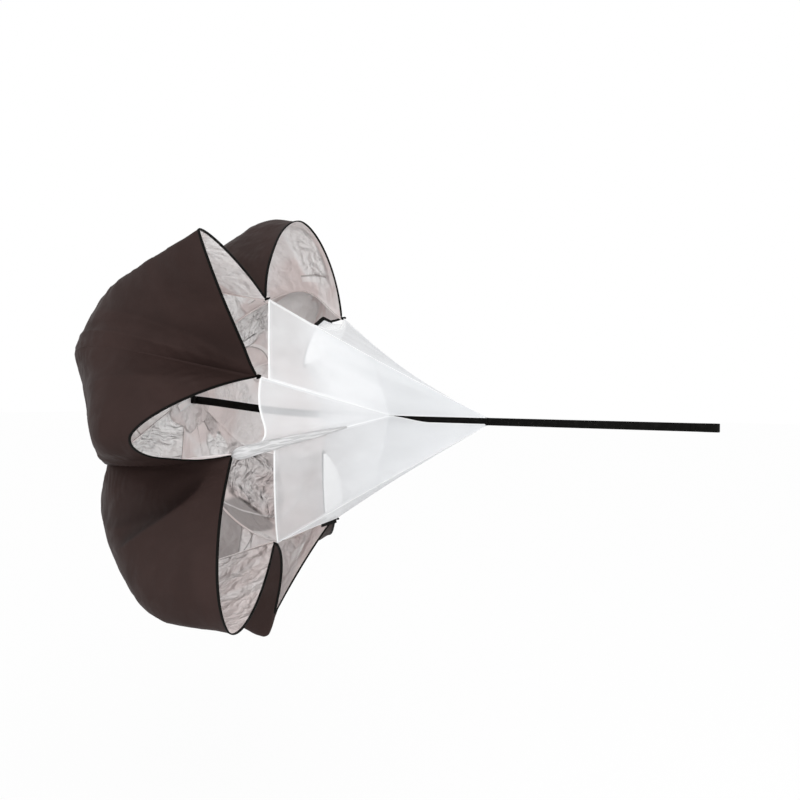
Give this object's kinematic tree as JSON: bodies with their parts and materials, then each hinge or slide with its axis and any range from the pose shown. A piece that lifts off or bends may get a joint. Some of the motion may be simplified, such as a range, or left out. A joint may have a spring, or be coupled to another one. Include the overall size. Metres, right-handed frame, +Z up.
{
  "type": "speed parachute",
  "caption": "Inflated resistance parachute for running: sewn gore canopy with silver inside, white net cone, centre strap, and a tow strap ending in a belt loop.",
  "frame": {"origin": "middle of the flat inner face of the loop's far end, where it bears on the runner's belt", "axes": "+X to the runner along the strap, +Z up, -Y to the near side with the open slot"},
  "size_m": [1.2796, 0.9106, 0.9738],
  "materials": {
    "dark_nylon": "matte",
    "silver_coating": "satin",
    "black_webbing": "matte",
    "black_binding": "matte",
    "white_net": "matte",
    "white_tape": "matte"
  },
  "bodies": {
    "end_loop": {"end_loop": "black_webbing", "loop_bartack": "black_binding"},
    "tow_strap": {"tow_strap": "black_webbing"},
    "canopy": {"centre_strap": "black_webbing", "corner_tab_far_lower": "black_webbing", "corner_tab_far_upper": "black_webbing", "corner_tab_lower_far": "black_webbing", "corner_tab_lower_near": "black_webbing", "corner_tab_near_lower": "black_webbing", "corner_tab_near_upper": "black_webbing", "corner_tab_upper_far": "black_webbing", "corner_tab_upper_near": "black_webbing", "crown_patch_inner": "silver_coating", "crown_patch_outer": "dark_nylon", "crown_strip": "silver_coating", "gore_bottom": "dark_nylon", "gore_far": "dark_nylon", "gore_lower_far": "dark_nylon", "gore_lower_near": "dark_nylon", "gore_near": "dark_nylon", "gore_top": "dark_nylon", "gore_upper_far": "dark_nylon", "gore_upper_near": "dark_nylon", "hem_binding_bottom": "black_binding", "hem_binding_far": "black_binding", "hem_binding_lower_far": "black_binding", "hem_binding_lower_near": "black_binding", "hem_binding_near": "black_binding", "hem_binding_top": "black_binding", "hem_binding_upper_far": "black_binding", "hem_binding_upper_near": "black_binding", "net_apex_binding": "white_tape", "net_bent_tape": "black_webbing", "net_corner_roll": "white_net", "net_gather": "white_net", "net_lower_tape": "black_webbing", "net_panel_bottom": "white_net", "net_panel_far": "white_net", "net_panel_lower_far": "white_net", "net_panel_lower_near": "white_net", "net_panel_near": "white_net", "net_panel_top": "white_net", "net_panel_upper_far": "white_net", "net_panel_upper_near": "white_net", "strap_fold": "black_webbing"}
  },
  "joints": [
    {"name": "strap_swing", "type": "hinge", "parent": "end_loop", "child": "tow_strap", "pos_m": [-0.046, 0, 0], "axis": [0, 0, 1], "range_deg": [-70, 70]},
    {"name": "canopy_swing", "type": "hinge", "parent": "tow_strap", "child": "canopy", "pos_m": [-0.43, 0, 0], "axis": [0, 0, 1], "range_deg": [-50, 50]}
  ]
}
